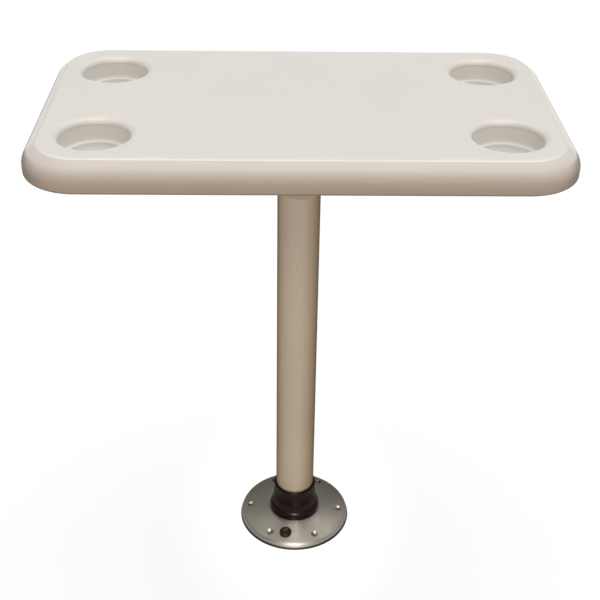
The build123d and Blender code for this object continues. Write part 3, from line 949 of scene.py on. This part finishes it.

# %% [markdown]
# ## Anodised post
#
# The tube is anodised in a warm champagne shade, with a grain drawn out along it. One side gets a browner
# painted shade, and the upper part under the top a duller painted shade. Darker outlines could be painted
# on, but they would be wrong from any other side. A clear coat with a tint makes them, because light goes
# a longer way through it there.

# %% Anodised post
side_shade_starts, side_shade_full = 2 * mm, 30 * mm
under_top_starts, under_top_full = 400 * mm, 600 * mm
side_shade_tint = (0.86, 0.78, 0.69)
under_top_shade_tint = (0.86, 0.83, 0.82)
anodised = finish_material(
    "anodised_post", light=(0.93, 0.825, 0.71), dark=(0.87, 0.765, 0.65), metallic=1.0,
    roughness=(0.34, 0.46), grain_scale=500.0, stretch=(1, 1, 0.02), bump=0.03, scratches=0.4,
)
# Painted shade: one side of the post is darker and browner.
lay_over(anodised, fade_along(anodised, "X", side_shade_starts, side_shade_full), side_shade_tint, "MULTIPLY")
# Painted shade: the upper part of the post, under the top, is darker.
lay_over(anodised, fade_along(anodised, "Z", under_top_starts, under_top_full), under_top_shade_tint, "MULTIPLY")
coat = {"Coat Weight": 1.0, "Coat IOR": 1.03, "Coat Roughness": 0.4, "Coat Tint": (0.58, 0.55, 0.50, 1.0)}
for setting, value in coat.items():
    anodised.node_tree.nodes["Principled BSDF"].inputs[setting].default_value = value
dress(anodised, post_piece)

# %% [markdown]
# ## Pressed plate
#
# The floor plate is spun or pressed from sheet, so its fine lines run round it. Light glances off such
# lines in a fan. Real grooves would take a very fine mesh, but an anisotropic shader draws the same fan
# when its tangent points away from the middle. The back of the plate gets a darker painted shade, and the
# rim at the floor a nearly black painted shade, which reaches higher at the back.

# %% Pressed plate
back_shade_starts, back_shade_full = -50 * mm, 70 * mm
rim_shade_ends, rim_shade_full = 7.8 * mm, 5.3 * mm
rim_shade_slope = -0.03
back_shade_tint = (0.34, 0.32, 0.28)
rim_shade_colour = (0.055, 0.047, 0.040)
pressed = finish_material(
    "pressed_plate", light=(0.45, 0.42, 0.37), dark=(0.37, 0.35, 0.305), metallic=1.0,
    roughness=(0.46, 0.56), grain_scale=900.0, bump=0.02, cloud_scale=22.0, scratches=0.6, turned=0.06,
)


def spin(material, strength):
    """Turns the shader's tangent straight away from the Z axis and stretches its highlights."""
    tree = material.node_tree
    shader = tree.nodes["Principled BSDF"]
    shader.inputs["Anisotropic"].default_value = strength
    place = new_node(tree, "ShaderNodeTexCoord")
    flattened = new_node(tree, "ShaderNodeVectorMath", {1: (1.0, 1.0, 0.0)}, operation="MULTIPLY")
    radial = new_node(tree, "ShaderNodeVectorMath", operation="NORMALIZE")
    join(tree, place, "Object", flattened, 0)
    join(tree, flattened, "Vector", radial, 0)
    join(tree, radial, "Vector", shader, "Tangent")


def low_rim(material):
    """Mask of painted shade near the floor: the height, with its limit sloped from front to back."""
    tree = material.node_tree
    place = new_node(tree, "ShaderNodeTexCoord")
    axes = new_node(tree, "ShaderNodeSeparateXYZ")
    sloped = new_node(tree, "ShaderNodeMath", {1: rim_shade_slope}, operation="MULTIPLY_ADD")
    mask = fade(tree, rim_shade_ends, rim_shade_full)
    join(tree, place, "Object", axes, "Vector")
    join(tree, axes, "Y", sloped, 0)
    join(tree, axes, "Z", sloped, 2)
    join(tree, sloped, 0, mask, "Value")
    return mask.outputs["Result"]


spin(pressed, strength=0.7)
# Painted shade: the back of the plate is darker.
lay_over(pressed, fade_along(pressed, "Y", back_shade_starts, back_shade_full), back_shade_tint, "MULTIPLY")
# Painted shade: the rim at the floor is nearly black.
lay_over(pressed, low_rim(pressed), rim_shade_colour)
dress(pressed, nodes["base_plate"])

# %% [markdown]
# ## Cast bracket and black collar
#
# The bracket under the top is a casting, so its skin is rougher and duller than the post's. The collar,
# its nut and the lock's housing are moulded in one black plastic with a brown cast. Plain black would be
# simpler, but a faint shine is what shows the steps of the collar.

# %% Cast bracket
cast = finish_material(
    "cast_bracket", light=(0.40, 0.34, 0.25), dark=(0.33, 0.28, 0.205), metallic=0.9,
    roughness=(0.4, 0.55), grain_scale=600.0, bump=0.2,
)
dress(cast, nodes["table_bracket"])

# %% Black collar
black = finish_material(
    "black_collar", light=(0.011, 0.004, 0.004), dark=(0.007, 0.002, 0.002), metallic=0.0,
    roughness=(0.24, 0.34), grain_scale=1200.0, bump=0.03, specular=0.12,
)
dress(black, nodes["socket_bush"], nodes["ring_nut"], nodes["lock_housing"])

# %% [markdown]
# ## Black button
#
# The button is black plastic too. Its middle is a lighter, dusty shade. A second material on those
# faces would end in a hard line. A mask by the distance from the middle fades out.

# %% Black button
button_middle_edge, button_middle_full = 5.6 * mm, 4.0 * mm
button_middle_shade = (0.032, 0.029, 0.020)
button_black = finish_material(
    "black_button", light=(0.012, 0.010, 0.008), dark=(0.006, 0.005, 0.004), metallic=0.0,
    roughness=(0.35, 0.5), grain_scale=1500.0, bump=0.1, specular=0.3,
)
button_low, button_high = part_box("release_button")
button_face = ((button_low.x + button_high.x) / 2, (button_low.y + button_high.y) / 2, button_high.z)


def near_point(material, point, start, end):
    """Mask round a point of the object, by the distance from it."""
    tree = material.node_tree
    place = new_node(tree, "ShaderNodeTexCoord")
    off_point = new_node(tree, "ShaderNodeVectorMath", {1: point}, operation="SUBTRACT")
    reach = new_node(tree, "ShaderNodeVectorMath", operation="LENGTH")
    mask = fade(tree, start, end)
    join(tree, place, "Object", off_point, 0)
    join(tree, off_point, "Vector", reach, 0)
    join(tree, reach, "Value", mask, "Value")
    return mask.outputs["Result"]


# The middle of the button is a lighter, dusty shade.
lay_over(button_black, near_point(button_black, button_face, button_middle_edge, button_middle_full), button_middle_shade)
dress(button_black, nodes["release_button"])

# %% [markdown]
# ## Hidden metal
#
# What sits under the top, under the plate and inside the post is plain hardware: zinc plated screws and
# sheet, a plug turned from bar with its rivets, and drawn spring wire. One grey could do for all of them.
# Here they differ in tone and shine, and the plug and its rivets have turned rings.

# %% Zinc plate
zinc = finish_material(
    "zinc_plate", light=(0.55, 0.54, 0.50), dark=(0.46, 0.45, 0.41), metallic=1.0,
    roughness=(0.3, 0.45), grain_scale=1500.0, bump=0.05, cloud_scale=60.0,
)
dress(zinc, *[nodes[name] for name in ("bracket_screws", "housing_cover", "cover_screws", "lock_slide")])

# %% Turned plug
turned_metal = finish_material(
    "turned_plug", light=(0.58, 0.57, 0.54), dark=(0.50, 0.49, 0.46), metallic=1.0,
    roughness=(0.25, 0.35), grain_scale=1500.0, bump=0.03, turned=0.1,
)
dress(turned_metal, nodes["foot_plug"], nodes["plug_rivets"])

# %% Spring wire
wire = finish_material(
    "spring_wire", light=(0.46, 0.45, 0.43), dark=(0.38, 0.37, 0.35), metallic=1.0,
    roughness=(0.25, 0.35), grain_scale=2000.0, bump=0.02,
)
dress(wire, coil_piece)

# %% [markdown]
# ## Update
#
# The dressed table mustn't outgrow the CAD model. The last line brings the scene up to date.

# %% Update
bpy.context.view_layer.update()
